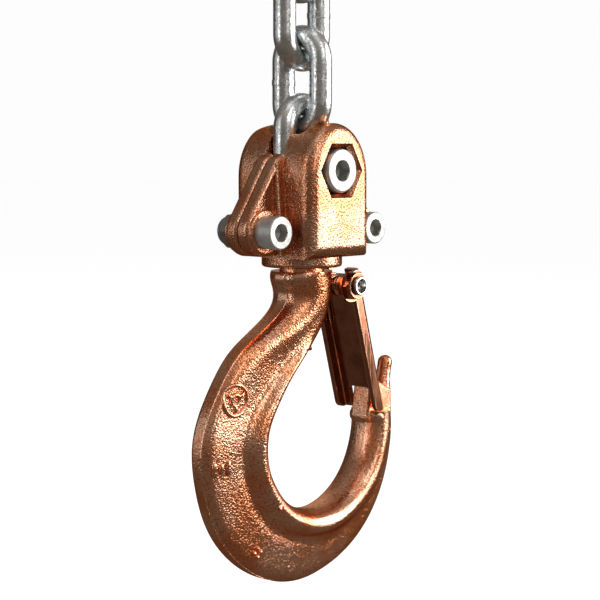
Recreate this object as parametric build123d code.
from build123d import *
import math
import os

# Load end of a lever chain hoist: short-link load chain, two-part bottom block on a chain pin,
# thrust bearing, and a swivelling forged hook with a spring-loaded sheet-metal latch.
# Millimetres. +Z is up, +X points to the hook's tip, -Y is the side of the screw heads.
# The origin is the inner top of the highest chain link, where the rest of the chain pulls.

# ---- chain ----
WIRE_D = 7.0
LINK_PITCH = 21.0            # inner length of one link
LINK_INNER_R = 4.2           # inner radius of a link's crown
LINK_PLAY = 0.25             # gap between neighbouring links, and between link and chain pin
LINK_COUNT = 4
WELD_PROUD = 0.16            # how far the butt weld stands above the wire
WELD_WIDTH = 1.8
WELD_EDGE_R = 0.144

# ---- all socket-head screws and nuts, as shares of their own sizes ----
HEAD_EDGE = 0.05             # rounding of the head's top edge, of the head's diameter
SOCKET_DEPTH = 0.5           # of the head's height
SOCKET_MOUTH = (0.50, 0.56)  # radii of the countersink round the socket, of the socket's flats
SOCKET_MOUTH_H = 0.06
DRILL_TIP_R = 0.48
DRILL_TIP_H = 0.18
TIP_CHAMFER = 0.08           # of the thread's diameter
NUT_FACE_R = 0.48            # radius left flat on a nut's face, of its flats
NUT_CHAMFER_DEG = 30
LOCK_RING_R = 0.44
THREAD_PLAY = 0.02

# ---- chain pin, an M8 socket-head screw with a hexagon nut ----
PIN_D = 8.0
PIN_HEAD_D = 13.3
PIN_HEAD_H = 8.0
PIN_SOCKET_FLATS = 6.0
HEAD_SEAT_Y = 8.8            # from the parting plane to the seat under the head
NUT_SEAT_Y = 8.8             # and to the seat under the nut
PIN_LENGTH = 25.0
PIN_NUT_FLATS = 13.0
PIN_NUT_H = 6.8

# ---- clamp screws, M6 socket-head screws with lock nuts ----
CLAMP_D = 6.0
CLAMP_HEAD_D = 10.0
CLAMP_HEAD_H = 6.0
CLAMP_SOCKET_FLATS = 5.0
CLAMP_NUT_FLATS = 10.0
CLAMP_NUT_H = 6.0
CLAMP_NUT_COLLAR = 2.0       # height of the lock nut's ring
CLAMP_X = 21.6
CLAMP_Z = -18.2              # below the chain pin
CLAMP_LENGTH = 18.2
SPOTFACE_R = 6.0

# ---- bottom block, heights counted from the chain pin ----
HALF_GAP = 0.15              # each half stops this far from the parting plane
FLANGE_T = 4.9
PAD_Y = 5.7                  # the pads under the clamp screws' heads and nuts
PAD_EDGE_R = 0.5
CLAMP_LUG_R = 7.4
CLAMP_PAD_R = 6.6
SHOULDER_X = 12.6
SHOULDER_Z = -0.3
SHOULDER_R = 4.9
SHOULDER_BLEND = 5.0         # concave blend from each shoulder up into the round top
BOSS_HALF_W = 13.8
FRONT_Y = 16.5               # depth of the front half's boss, from the parting plane
REAR_Y = 16.3
BOSS_CENTRE_Z = -2.0
BOSS_TOP = 14.4
FRONT_EDGE_R = 3.8
REAR_EDGE_R = 4.2
REAR_CROWN_R = 9.0           # the rear boss is rounded further over its top
BLOCK_BOTTOM = -26.4
RING_R = 12.5
RING_BOTTOM = -29.7
FLANGE_DOME_R = 13.0         # the flange's own round top, which lies inside the boss
FLANGE_DOME_Z = 0.4
RIM_EDGE_R = 1.7             # round outer edge of the flange's rim
RIM_GROOVE_R = 1.2           # rounding that leaves a groove where the two halves meet
RIB_X = (13.5, 16.9)         # upright rib beside the boss
RIB_Y = 6.6
RIB_TOP = (4.2, 1.9)         # height of its slanted top at the boss and at its outer side
RIB_EDGE_R = 1.1
POCKET_FLOOR_Y = 3.6
HEAD_RECESS_FLATS = 14.0
NUT_RECESS_FLATS = 13.2
RECESS_BEVEL = 1.3           # the recess's mouth widens by this much a side
RECESS_BEVEL_DEPTH = 1.6
POCKET_LOW = 5.4             # the pocket starts this far above the clamp screws
POCKET_OUT = 26.0
POCKET_CORNER_R = 0.6
RING_EDGE_R = 1.0
BOLT_HOLE_PLAY = 0.04        # on the radius of each screw's hole
SLOT_HALF_Y = 4.0
SLOT_HALF_X = 12.7
CROWN_PLAY = 0.6             # round the lower crown of the link above the slot
CROWN_MOUTH = ((6.6, 8.0), (12.5, 18.0))    # half width and height of that hollow's flared mouth
CAVITY_R = 11.6
CAVITY_TOP = -12.4
CAVITY_FLOOR = -24.0
SHANK_BORE_R = 7.35

# ---- swivel bearing and hook shank ----
SHANK_R = 7.0
SHANK_TOP = -13.9
SHANK_CHAMFER = 0.8
RACE_OUT_R = 11.3
RACE_T = 1.8
BALL_R = 1.5
BALL_COUNT = 12
BALL_CIRCLE_R = 9.35
BALL_Z = -21.2
CAGE_T = 1.3
HOOK_NUT_R = 10.0
HOOK_NUT_H = 5.0
LOCK_PIN_R = 1.5
LOCK_PIN_BORE_R = 0.825
LOCK_PIN_SLIT = 0.5
PRESS_PLAY = 0.03            # between the shank and the rings that sit on it
BALL_PLAY = 0.1              # between a ball and its groove
POCKET_PLAY = 0.06           # between a ball and its hole in the cage

# ---- hook, heights counted from the chain pin ----
HOOK_TOP = -31.0
BOWL_X = 4.0
BOWL_Z = -81.5
BOWL_R = 24.5
BEAD_HALF = 7.9              # half thickness of the bead along the inside
PANEL_HALF = 4.6             # half thickness of the panel beside the bead
BEAD_LENGTH = 4.2            # the bead rounds off over this length to the inner edge
BEAD_END = 5.4               # from here the bead blends down to the panel
BLEND_LENGTH = 4.2
PANEL_START = 9.6
PANEL_TAPER = 0.55           # the panel thins by this much from there to the rim
RIM_LENGTH = 3.6             # the panel rounds off over this length to its outer edge
SECTION_POINTS = 14
TIP_HALF = 3.6
PAD_X = 31.6
PAD_TOP = -77.9
PAD_BOTTOM = -82.4
PAD_HALF = (4.2, 6.7)        # half widths of the pad along X and Y
PAD_ROUND_R = 1.9
NOSE_TOP = -70.2
SEAT_TOP = -67.6
SEAT_PLAY = 0.25             # from the closed latch to the seat that stops it
# the point above the seat: centre x, height, and half widths along X and Y
POINT = [(37.9, -80.0, 3.4, 3.6), (38.4, -75.0, 3.1, 3.4), (39.3, -69.0, 2.5, 2.6), (40.5, -63.6, 2.4, 2.4)]

# ---- latch ----
PIVOT_X = 13.8
PIVOT_Z = -36.0
LATCH_LEAN = 15.5            # degrees the latch leans outward from upright
LATCH_WIDTH = 17.5
LATCH_DEPTH = 4.7
LATCH_T = 1.7
LATCH_BACK = 5.4             # from the pivot to the outer face of the web
LATCH_UP = 3.9               # from the pivot to the upper end, along the latch
LATCH_DOWN = 43.9            # from the pivot to the lower end, along the latch
EAR_R = 5.2
WEB_CORNER_R = 2.2
HEEL_R = 2.5                 # the lower corners of the latch's two flanges
NOTCH_CORNER_R = 1.4
NOTCH_WIDTH = 8.6
NOTCH_HEIGHT = 7.3
TOP_NOTCH_WIDTH = 6.4
TOP_NOTCH_DEPTH = 8.0
BOLT_R = 2.5
BOLT_HOLE_R = 2.56
BOLT_HEAD_R = 4.1
BOLT_HEAD_H = 2.7
BOLT_BORE_R = 1.9
WASHER_GAP = 0.1             # from the latch's sides to the bolt's head and nut
FLARE_R = 3.0
BOLT_NUT_FLATS = 8.4
BOLT_NUT_H = 2.6
LUG_R = 3.5
LUG_HALF = 2.7
LUG_ROOT = (4.0, 9.6)        # width and height of the lug where it leaves the neck
LUG_EDGE_R = 0.5
SPRING_WIRE_R = 0.5
SPRING_COIL_R = 3.07
SPRING_TURNS = 2.25
SPRING_PITCH = 1.04
SPRING_START_Y = 3.3         # the coil starts here, beside the lug
SPRING_LEG = 15.0
SPRING_ARM = 3.4

WIRE_R = WIRE_D / 2
CROWN_R = LINK_INNER_R + WIRE_R
LINK_STEP = LINK_PITCH - LINK_PLAY
BEARING_TOP = 2 * BALL_Z - CAVITY_FLOOR      # the upper race's top, where the hook's nut rests
PIN_Z = -(LINK_COUNT - 1) * LINK_STEP - LINK_PITCH + LINK_PLAY + PIN_D / 2
AT_PIN = Location((0, 0, PIN_Z))
TO_FRONT = Rot(90, 0, 0)     # turns a fastener built along +Z to point at -Y
TO_REAR = Rot(-90, 0, 0)
STANDING = (Align.CENTER, Align.CENTER, Align.MIN)
HANGING = (Align.CENTER, Align.CENTER, Align.MAX)


def save(name, shape):
    """Write one sub-part, modelled in place, to its own file."""
    export_step(shape, f"parts/{name}.step")


def ring(outer_r, inner_r, height):
    """A flat ring standing on its origin plane."""
    return Cylinder(outer_r, height, align=STANDING) - Cylinder(inner_r, height, align=STANDING)


def hexagon(flats):
    """A hexagon with its corners left and right."""
    return RegularPolygon(flats / math.sqrt(3), 6)


# ---------------------------------------------------------------- chain
def chain_link(index):
    """A welded link: two legs and two crowns, turned a quarter from one link to the next."""
    top = -index * LINK_STEP
    leg_length = LINK_PITCH - 2 * LINK_INNER_R
    lower_crown = revolve(Pos(CROWN_R, 0) * Circle(WIRE_R), Axis.Y, 180)
    leg = Cylinder(WIRE_R, leg_length)
    weld = Cylinder(WIRE_R + WELD_PROUD, WELD_WIDTH)
    weld = fillet(weld.edges().filter_by(GeomType.CIRCLE), WELD_EDGE_R)
    link = Pos(CROWN_R, 0, 0) * leg + Pos(-CROWN_R, 0, 0) * leg
    link += Pos(0, 0, -leg_length / 2) * lower_crown
    link += Pos(0, 0, leg_length / 2) * Rot(0, 180, 0) * lower_crown
    link += Pos(CROWN_R, 0, 0) * weld
    quarter = Rot(0, 0, 90 if index % 2 == 0 else 0)
    return Pos(0, 0, top - LINK_PITCH / 2) * quarter * link


# ---------------------------------------------------------------- fasteners
def cap_screw(d, head_d, head_h, socket_flats, length):
    """Socket-head screw along Z: the head stands on the origin plane, the shank hangs below it."""
    head = Cylinder(head_d / 2, head_h, align=STANDING)
    head = fillet(head.edges().group_by(Axis.Z)[-1], head_d * HEAD_EDGE)
    floor = head_h * (1 - SOCKET_DEPTH)
    socket = extrude(Plane.XY.offset(floor) * hexagon(socket_flats), head_h - floor)
    mouth_low, mouth_high = (socket_flats * share for share in SOCKET_MOUTH)
    mouth = Cone(mouth_low, mouth_high, socket_flats * SOCKET_MOUTH_H, align=HANGING)
    drill_tip = Cone(0.01, socket_flats * DRILL_TIP_R, socket_flats * DRILL_TIP_H, align=HANGING)
    shank = Cylinder(d / 2, length, align=HANGING)
    shank = chamfer(shank.edges().group_by(Axis.Z)[0], d * TIP_CHAMFER)
    return head + shank - socket - Pos(0, 0, head_h) * mouth - Pos(0, 0, floor) * drill_tip


def hex_nut(d, flats, height, collar):
    """Nut standing on the origin plane, with its corners chamfered; collar is a lock ring's height."""
    corner_r = flats / math.sqrt(3)
    cone_h = (corner_r - flats * NUT_FACE_R) / math.tan(math.radians(NUT_CHAMFER_DEG))
    straight_h = height - collar - cone_h
    barrel = Cylinder(corner_r, straight_h, align=STANDING)
    barrel += Pos(0, 0, straight_h) * Cone(corner_r, flats * NUT_FACE_R, cone_h, align=STANDING)
    body = extrude(hexagon(flats), height - collar) & barrel
    if collar:
        dome = Cylinder(flats * LOCK_RING_R, height, align=STANDING)
        body += fillet(dome.edges().group_by(Axis.Z)[-1], collar * 0.7)
    return body - Cylinder(d / 2 + THREAD_PLAY, height, align=STANDING)


# ---------------------------------------------------------------- bottom block
def dome_outline():
    """The boss's round top, half an ellipse of which shows."""
    return Pos(0, BOSS_CENTRE_Z) * Ellipse(BOSS_HALF_W, BOSS_TOP - BOSS_CENTRE_Z)


def blend_centre(a, a_r, b, b_r, r):
    """Centre, above the two circles, of a circle of radius r that touches both from outside."""
    gap = math.dist(a, b)
    along = ((a_r + r) ** 2 - (b_r + r) ** 2 + gap ** 2) / (2 * gap)
    across = math.sqrt((a_r + r) ** 2 - along ** 2)
    ux, uz = (b[0] - a[0]) / gap, (b[1] - a[1]) / gap
    return (a[0] + ux * along - uz * across, a[1] + uz * along + ux * across)


def flange_outline():
    """Right-hand half of a housing half's outline, with a concave blend up to the round top."""
    lug = Pos(CLAMP_X, CLAMP_Z) * Circle(CLAMP_LUG_R)
    shoulder = Pos(SHOULDER_X, SHOULDER_Z) * Circle(SHOULDER_R)
    middle = Pos(0, CLAMP_Z) * Rectangle(1, 2 * CLAMP_LUG_R)
    top, corner = (0, FLANGE_DOME_Z), (SHOULDER_X, SHOULDER_Z)
    blend = blend_centre(top, FLANGE_DOME_R, corner, SHOULDER_R, SHOULDER_BLEND)
    web = make_face(Polyline(top, corner, blend, close=True)) - Pos(*blend) * Circle(SHOULDER_BLEND)
    right = make_hull(lug.edges() + shoulder.edges() + middle.edges()) + web
    return right + Pos(0, FLANGE_DOME_Z) * Circle(FLANGE_DOME_R)


def boss_outline():
    """Outline of the boss round the chain pin: upright sides under a round top."""
    height = BOSS_CENTRE_Z - BLOCK_BOTTOM
    return Pos(0, BLOCK_BOTTOM + height / 2) * Rectangle(2 * BOSS_HALF_W, height) + dome_outline()


def rib(side):
    """Upright rib beside the boss: it leans back to meet the rim, and its top follows the rim."""
    inner_x, outer_x = RIB_X
    high, low = RIB_TOP
    foot, back = BLOCK_BOTTOM + 1, -1
    profile = [(back, foot), (-RIB_Y, foot), (-RIB_Y, CLAMP_Z), (-FLANGE_T, high), (back, high)]
    bar = extrude(Plane.YZ * make_face(Polyline(*profile, close=True)), outer_x - inner_x)
    bar = Pos(inner_x, 0, 0) * bar
    outer_face = bar.faces().sort_by(Axis.X)[-1]
    front_edges = outer_face.edges().filter_by(lambda e: e.center().Y < -FLANGE_T and e.center().Z > foot)
    bar = fillet(front_edges, RIB_EDGE_R)
    corner = make_face(Polyline((inner_x, high), (outer_x, high), (outer_x, low), close=True))
    bar -= extrude(Plane.XZ * corner, RIB_Y)
    return bar if side > 0 else mirror(bar, about=Plane.YZ)


def pocket_outline(side):
    """Lightening pocket between the slanted rim and the boss, above the lug."""
    low = CLAMP_Z + POCKET_LOW
    corners = [(side * RIB_X[1], low), (side * RIB_X[1], 0), (side * POCKET_OUT, low)]
    return fillet(make_face(Polyline(*corners, close=True)).vertices(), POCKET_CORNER_R)


def clamp_pad():
    """Round pad under a clamp screw's head or nut, centred on the screw."""
    pad = TO_FRONT * Cylinder(CLAMP_PAD_R, PAD_Y - 1, align=STANDING)
    return Pos(0, -1, 0) * fillet(pad.edges().group_by(Axis.Y)[0], PAD_EDGE_R)


def slot_cut():
    """Room for the lowest link: a slot open at the top, and a hollow for the link above it."""
    slot = Box(2 * SLOT_HALF_X, 2 * SLOT_HALF_Y, BOSS_TOP + 5 - CAVITY_TOP, align=STANDING)
    crown_z = LINK_PITCH - PIN_D / 2 - 2 * LINK_PLAY + LINK_INNER_R - 0.05
    scoop = Pos(0, 0, crown_z) * Cylinder(CROWN_R + WIRE_R + CROWN_PLAY, 60, rotation=(0, 90, 0))
    (low_x, low_z), (high_x, high_z) = CROWN_MOUTH
    mouth_view = Polyline((-low_x, low_z), (low_x, low_z), (high_x, high_z), (-high_x, high_z), close=True)
    mouth = extrude(Plane.XZ * make_face(mouth_view), 30, both=True)
    return Pos(0, 0, CAVITY_TOP) * slot + (scoop & mouth)


def swivel_cut():
    """Cavity for the bearing and the hook's nut, and the bore for the hook's shank."""
    cavity = Cylinder(CAVITY_R, CAVITY_TOP - CAVITY_FLOOR, align=STANDING)
    return Pos(0, 0, CAVITY_FLOOR) * (cavity + Cylinder(SHANK_BORE_R, 20))


def crown_cut(depth, crown_r):
    """What a rounding of radius crown_r, across the boss, takes off the top of its outer edge."""
    corner = Box(100, crown_r, crown_r, align=(Align.CENTER, Align.MIN, Align.MAX))
    barrel = Pos(0, crown_r, -crown_r) * Cylinder(crown_r, 100, rotation=(0, 90, 0))
    return Pos(0, -depth, BOSS_TOP) * (corner - barrel)


def housing_half(depth, edge_r, recess_flats, seat_y):
    """The half on the -Y side; its hexagonal recess takes the pin's head or nut."""
    outline = flange_outline()
    flange = extrude(Plane.XZ * (outline + mirror(outline, about=Plane.YZ)), FLANGE_T)
    flange = fillet(flange.faces().sort_by(Axis.Y)[0].edges(), RIM_EDGE_R)
    flange = fillet(flange.faces().sort_by(Axis.Y)[-1].edges(), RIM_GROOVE_R)
    boss = extrude(Plane.XZ * boss_outline(), depth)
    boss = fillet(boss.faces().sort_by(Axis.Y)[0].edges(), edge_r)
    half = flange + boss
    for side in (-1, 1):
        half += rib(side)
        half -= extrude(Plane.XZ.offset(POCKET_FLOOR_Y) * pocket_outline(side), 4)
        half += Pos(side * CLAMP_X, 0, CLAMP_Z) * clamp_pad()
    foot = Cylinder(RING_R, BLOCK_BOTTOM - RING_BOTTOM + 2, align=STANDING)
    half += Pos(0, 0, RING_BOTTOM) * fillet(foot.edges().group_by(Axis.Z)[0], RING_EDGE_R)
    recess = extrude(Plane.XZ.offset(seat_y) * hexagon(recess_flats), depth - seat_y)
    mouth_in = Plane.XZ.offset(depth - RECESS_BEVEL_DEPTH) * hexagon(recess_flats)
    mouth_out = Plane.XZ.offset(depth) * hexagon(recess_flats + 2 * RECESS_BEVEL)
    half -= recess + loft([mouth_in, mouth_out])
    half -= TO_FRONT * Cylinder(PIN_D / 2 + BOLT_HOLE_PLAY, 60)
    for side in (-1, 1):
        at_screw = Pos(side * CLAMP_X, 0, CLAMP_Z) * TO_FRONT
        half -= at_screw * Cylinder(CLAMP_D / 2 + BOLT_HOLE_PLAY, 60)
        half -= at_screw * Pos(0, 0, PAD_Y) * Cylinder(SPOTFACE_R, 20, align=STANDING)
    half -= slot_cut() + swivel_cut()
    keep = Box(100, 50, 100, align=(Align.CENTER, Align.MAX, Align.CENTER))
    return half & Pos(0, -HALF_GAP, 0) * keep


# ---------------------------------------------------------------- swivel bearing
def groove():
    """Ball track cut into both races."""
    return Pos(0, 0, BALL_Z) * Torus(BALL_CIRCLE_R, BALL_R + BALL_PLAY)


def lower_race():
    """Race that lies on the cavity's floor and stays with the block."""
    return Pos(0, 0, CAVITY_FLOOR) * ring(RACE_OUT_R, SHANK_R + 0.4, RACE_T) - groove()


def upper_race():
    """Race that sits tight on the shank, under the hook's nut."""
    return Pos(0, 0, BEARING_TOP - RACE_T) * ring(RACE_OUT_R - 0.2, SHANK_R + PRESS_PLAY, RACE_T) - groove()


def around_balls(shape):
    """The shape repeated at each ball."""
    step = 360 / BALL_COUNT
    spots = [Rot(0, 0, k * step) * Pos(BALL_CIRCLE_R, 0, BALL_Z) for k in range(BALL_COUNT)]
    return [spot * shape for spot in spots]


def ball_cage():
    """Flat ring that keeps the balls apart."""
    cage = Pos(0, 0, BALL_Z - CAGE_T / 2) * ring(RACE_OUT_R - 0.3, SHANK_R + 0.6, CAGE_T)
    for hole in around_balls(Cylinder(BALL_R + POCKET_PLAY, 5)):
        cage -= hole
    return cage


def hook_nut():
    """Round nut on the shank that hangs the hook on the bearing."""
    nut = ring(HOOK_NUT_R, SHANK_R + PRESS_PLAY, HOOK_NUT_H)
    nut = chamfer(nut.edges().group_by(Axis.Z)[-1].sort_by(SortBy.LENGTH)[-1], SHANK_CHAMFER)
    return Pos(0, 0, BEARING_TOP) * nut - lock_pin_hole()


def lock_pin():
    """Slotted spring pin through the nut and the shank."""
    length = 2 * HOOK_NUT_R - 1
    pin = Cylinder(LOCK_PIN_R, length) - Cylinder(LOCK_PIN_BORE_R, length)
    pin -= Pos(-LOCK_PIN_R, 0, 0) * Box(2 * LOCK_PIN_R, LOCK_PIN_SLIT, length)
    return Pos(0, 0, BEARING_TOP + HOOK_NUT_H / 2) * Rot(0, 90, 0) * pin


def lock_pin_hole():
    """The hole for that pin, right through the nut."""
    hole = Cylinder(LOCK_PIN_R + THREAD_PLAY, 2 * HOOK_NUT_R + 3)
    return Pos(0, 0, BEARING_TOP + HOOK_NUT_H / 2) * Rot(0, 90, 0) * hole


# ---------------------------------------------------------------- hook
def polar(angle, radius):
    """A point beside the bowl, as (x, z)."""
    a = math.radians(angle)
    return (BOWL_X + radius * math.cos(a), BOWL_Z + radius * math.sin(a))


# Stations from the neck round the bowl to the tip: the inner point, the outer point, the half
# thickness of the bead and of the panel, and how round the section is (1 is a circle).
NECK = [
    ((9.6, -31.0), (-9.6, -31.0), 9.6, 9.6, 1.0),
    ((9.1, -36.5), (-9.1, -36.8), 9.1, 9.1, 1.0),
    ((8.6, -41.6), (-10.0, -41.0), 8.8, 8.6, 1.0),
    ((7.0, -46.4), (-15.4, -45.4), 8.5, 7.9, 0.95),
    ((3.4, -51.5), (-22.9, -49.7), 8.3, 7.0, 0.75),
    ((-2.2, -57.0), (-30.6, -54.9), 8.1, 5.9, 0.4),
    ((-9.0, -62.8), (-37.4, -63.1), 8.0, 5.1, 0.15),
    ((-15.3, -69.9), (-42.6, -71.8), BEAD_HALF, PANEL_HALF, 0.0),
    ((-19.4, -77.4), (-45.2, -80.0), BEAD_HALF, PANEL_HALF, 0.0),
]
# round the bowl: the angle, the outer radius and the bead's half thickness
BOWL = [
    (190, 49.8, 7.9), (208, 50.1, 7.9), (227, 49.5, 7.9), (245, 48.4, 7.8), (262, 46.7, 7.7),
    (279, 44.4, 7.6), (296, 42.4, 7.5), (313, 40.5, 7.3), (330, 38.7, 7.2), (346, 37.5, 7.1),
]
TIP_ROOT = ((28.3, -78.2), (41.3, -78.2), 6.9, 3.6, 0.0)


def half_section(length, bead, panel, roundness):
    """Half thickness along a section, from the inner point to the outer one."""
    inner_end = BEAD_LENGTH + (length / 2 - BEAD_LENGTH) * roundness
    outer_end = RIM_LENGTH + (length / 2 - RIM_LENGTH) * roundness
    power = 2.4 - 0.4 * roundness
    points = []
    for k in range(1, SECTION_POINTS):
        s = length / 2 * (1 - math.cos(math.pi * k / SECTION_POINTS))
        step = min(max((s - BEAD_END) / BLEND_LENGTH, 0), 1)
        blend = step * step * (3 - 2 * step)
        along_panel = min(max((s - PANEL_START) / max(length - PANEL_START, 1), 0), 1)
        thick = bead + (panel - bead) * blend - PANEL_TAPER * (1 - roundness) * along_panel
        if s < inner_end:
            thick *= math.sqrt(1 - (1 - s / inner_end) ** 2)
        if s > length - outer_end:
            thick *= (1 - ((s - length + outer_end) / outer_end) ** power) ** (1 / power)
        points.append((s, thick))
    return points


def section(inner, outer, bead, panel, roundness):
    """One section of the hook's front half, closed along the parting plane."""
    length = math.dist(inner, outer)
    along = ((outer[0] - inner[0]) / length, (outer[1] - inner[1]) / length)
    profile = half_section(length, bead, panel, roundness)

    def place(s, thick):
        return Vector(inner[0] + along[0] * s, -thick, inner[1] + along[1] * s)

    start, end = place(0, 0), place(length, 0)
    skin = Spline(start, *[place(s, t) for s, t in profile], end, tangents=[(0, -1, 0), (0, 1, 0)])
    return Face(Wire([skin, Line(end, start)]))


def hook_tip():
    """Above the arm: a pad, the nose that enters the latch, the seat behind it, and the point."""
    pad = extrude(Pos(PAD_X, 0, PAD_BOTTOM) * Ellipse(*PAD_HALF), PAD_TOP - PAD_BOTTOM)
    pad = fillet(pad.edges().filter_by(Plane.XY), PAD_ROUND_R)
    lean = math.tan(math.radians(LATCH_LEAN))
    seat_x = PIVOT_X + LATCH_BACK / math.cos(math.radians(LATCH_LEAN)) + SEAT_PLAY

    def web_side(z):
        return seat_x + (PIVOT_Z - z) * lean

    core_view = make_face(Polyline(
        (27.3, -80.0), (28.7, NOSE_TOP), (web_side(NOSE_TOP), NOSE_TOP), (web_side(SEAT_TOP), SEAT_TOP),
        (31.6, SEAT_TOP), (35.4, -69.8), (40.0, -72.0), (40.0, -80.0), close=True))
    core = extrude(Plane.XZ * core_view, TIP_HALF, both=True)
    core = fillet(core.edges().filter_by(Plane.XZ), 1.0)
    point = loft([Pos(x, 0, z) * Ellipse(half_x, half_y) for x, z, half_x, half_y in POINT])
    ball_x, ball_z, ball_r = POINT[-1][:3]
    return pad + core + point + Pos(ball_x, 0, ball_z) * Sphere(ball_r)


def latch_lug():
    """Ear on the neck that carries the latch's bolt."""
    root = Pos(5.0, PIVOT_Z) * Rectangle(*LUG_ROOT)
    eye = Pos(PIVOT_X, PIVOT_Z) * Circle(LUG_R)
    lug = extrude(Plane.XZ * make_hull(eye.edges() + root.edges()), LUG_HALF, both=True)
    return fillet(lug.edges().filter_by(GeomType.CIRCLE), LUG_EDGE_R)


def hook():
    """The forging: shank, neck, bowl and tip, with the lug that carries the latch."""
    stations = [section(*station) for station in NECK]
    for angle, outer_r, bead in BOWL:
        inner, outer = polar(angle, BOWL_R), polar(angle, outer_r)
        stations.append(section(inner, outer, bead, PANEL_HALF - 0.2, 0.0))
    stations.append(section(*TIP_ROOT))
    front = loft(stations)
    body = front + mirror(front, about=Plane.XZ)
    shank = Cylinder(SHANK_R, SHANK_TOP - HOOK_TOP + 1, align=HANGING)
    shank = chamfer(shank.edges().group_by(Axis.Z)[-1], SHANK_CHAMFER)
    whole = body + Pos(0, 0, SHANK_TOP) * shank + hook_tip() + latch_lug()
    bolt_hole = Pos(PIVOT_X, 0, PIVOT_Z) * TO_FRONT * Cylinder(BOLT_R + PRESS_PLAY, 20)
    return whole - bolt_hole - lock_pin_hole()


# ---------------------------------------------------------------- latch
LATCH_FRAME = Location((PIVOT_X, 0, PIVOT_Z), (0, -LATCH_LEAN, 0))


def latch():
    """Channel of sheet metal, open towards the spine: built upright on its pivot, then leaned."""
    height = LATCH_UP + LATCH_DOWN
    middle = (LATCH_UP - LATCH_DOWN) / 2

    def block(x_low, x_high, half_y):
        return Pos((x_low + x_high) / 2, 0, middle) * Box(x_high - x_low, 2 * half_y, height)

    outer = block(LATCH_BACK - LATCH_DEPTH, LATCH_BACK, LATCH_WIDTH / 2)
    outer = fillet(outer.edges().filter_by(Axis.Z).group_by(Axis.X)[-1], WEB_CORNER_R)
    outer = fillet(outer.edges().filter_by(Axis.Y).group_by(Axis.Z)[0].sort_by(Axis.X)[0], HEEL_R)
    ears = TO_FRONT * Cylinder(EAR_R, LATCH_WIDTH)
    outer += ears & block(-EAR_R, LATCH_BACK - 0.4, LATCH_WIDTH / 2)
    inner = block(-EAR_R - 1, LATCH_BACK - LATCH_T, LATCH_WIDTH / 2 - LATCH_T)
    inner = fillet(inner.edges().filter_by(Axis.Z).group_by(Axis.X)[-1], WEB_CORNER_R - LATCH_T)
    channel = outer - inner
    notch = Pos(LATCH_BACK, 0, -LATCH_DOWN) * Box(10, NOTCH_WIDTH, NOTCH_HEIGHT * 2)
    top_notch = Pos(LATCH_BACK, 0, LATCH_UP) * Box(10, TOP_NOTCH_WIDTH, TOP_NOTCH_DEPTH * 2)
    for cut in (notch, top_notch):
        channel -= fillet(cut.edges().filter_by(Axis.X), NOTCH_CORNER_R)
    channel -= TO_FRONT * Cylinder(BOLT_HOLE_R, 40)
    return channel.moved(LATCH_FRAME)


def latch_bolt():
    """Pivot pin through the latch and the lug: a round head at the rear, a flared hollow end in front."""
    seat = -LATCH_WIDTH / 2 - WASHER_GAP
    end = LATCH_WIDTH / 2 + WASHER_GAP + BOLT_NUT_H
    outline = Polyline(
        (0, seat - BOLT_HEAD_H), (3.0, seat - BOLT_HEAD_H), (BOLT_HEAD_R, seat - 1.8), (BOLT_HEAD_R, seat),
        (BOLT_R, seat), (BOLT_R, end + 0.1), (FLARE_R, end + 0.4), (FLARE_R, end + 1.0),
        (FLARE_R - 0.3, end + 1.3), (FLARE_R - 0.7, end + 1.3), (BOLT_BORE_R, end + 0.2),
        (BOLT_BORE_R, end - 1.0), (0, end - 1.4), close=True)
    body = revolve(Plane.XZ * make_face(outline), Axis.Z)
    return Pos(PIVOT_X, 0, PIVOT_Z) * TO_FRONT * body


def latch_nut():
    """Thin nut under the bolt's flared end."""
    nut = hex_nut(2 * BOLT_R, BOLT_NUT_FLATS, BOLT_NUT_H, 0)
    return Pos(PIVOT_X, 0, PIVOT_Z) * TO_FRONT * Pos(0, 0, LATCH_WIDTH / 2 + WASHER_GAP) * nut


def latch_spring():
    """Two coils, one each side of the lug, each with a leg down the web and an arm on the neck."""
    coil = Helix(SPRING_PITCH, SPRING_TURNS * SPRING_PITCH, SPRING_COIL_R, lefthand=True)
    arm = Line(coil @ 0 - (coil % 0) * SPRING_ARM, coil @ 0)
    leg = Line(coil @ 1, coil @ 1 + (coil % 1) * SPRING_LEG)
    path = Wire([arm, coil, leg])
    wire = sweep(Plane(path @ 0, z_dir=path % 0) * Circle(SPRING_WIRE_R), path=path, is_frenet=True)
    front = Plane((0, -SPRING_START_Y, 0), x_dir=(0, 0, 1), z_dir=(0, -1, 0)) * wire
    front = front.moved(LATCH_FRAME)
    return Compound(children=[front, mirror(front, about=Plane.XZ)])


def build_chain():
    """Each link's node name and solid, from the top down."""
    names = ["chain_link_top", "chain_link_third", "chain_link_second", "chain_link_lowest"]
    return {name: chain_link(index) for index, name in enumerate(names)}


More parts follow.
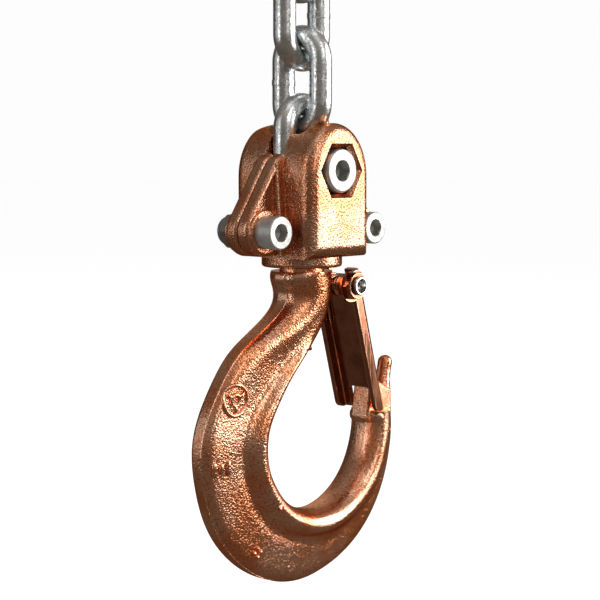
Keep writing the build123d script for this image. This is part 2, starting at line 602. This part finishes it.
def build_block():
    """The block's nodes, built round the chain pin."""
    front = housing_half(FRONT_Y, FRONT_EDGE_R, HEAD_RECESS_FLATS, HEAD_SEAT_Y)
    rear = housing_half(REAR_Y, REAR_EDGE_R, NUT_RECESS_FLATS, NUT_SEAT_Y) - crown_cut(REAR_Y, REAR_CROWN_R)
    pin_screw = cap_screw(PIN_D, PIN_HEAD_D, PIN_HEAD_H, PIN_SOCKET_FLATS, PIN_LENGTH)
    pin_nut = hex_nut(PIN_D, PIN_NUT_FLATS, PIN_NUT_H, 0)
    nodes = {
        "housing_front": front,
        "housing_rear": mirror(rear, about=Plane.XZ),
        "chain_pin_screw": Pos(0, -HEAD_SEAT_Y, 0) * TO_FRONT * pin_screw,
        "chain_pin_nut": Pos(0, NUT_SEAT_Y, 0) * TO_REAR * pin_nut,
    }
    clamp_screw = cap_screw(CLAMP_D, CLAMP_HEAD_D, CLAMP_HEAD_H, CLAMP_SOCKET_FLATS, CLAMP_LENGTH)
    clamp_nut = hex_nut(CLAMP_D, CLAMP_NUT_FLATS, CLAMP_NUT_H, CLAMP_NUT_COLLAR)
    for side, word in ((-1, "left"), (1, "right")):
        nodes[f"clamp_screw_{word}"] = Pos(side * CLAMP_X, -PAD_Y, CLAMP_Z) * TO_FRONT * clamp_screw
        nodes[f"clamp_nut_{word}"] = Pos(side * CLAMP_X, PAD_Y, CLAMP_Z) * TO_REAR * clamp_nut
    return nodes


def build_swivel():
    """The bearing's nodes, with what hangs the hook on it."""
    return {
        "bearing_race_lower": lower_race(),
        "bearing_race_upper": upper_race(),
        "bearing_balls": Compound(children=around_balls(Sphere(BALL_R))),
        "ball_cage": ball_cage(),
        "hook_nut": hook_nut(),
        "nut_lock_pin": lock_pin(),
    }


def build_hook():
    """The hook's and the latch's nodes."""
    return {
        "hook": hook(),
        "latch": latch(),
        "latch_bolt": latch_bolt(),
        "latch_nut": latch_nut(),
        "latch_spring": latch_spring(),
    }


os.makedirs("parts", exist_ok=True)
for node, solid in build_chain().items():
    save(node, solid)
for group in (build_block(), build_swivel(), build_hook()):
    for node, solid in group.items():
        save(node, AT_PIN * solid)
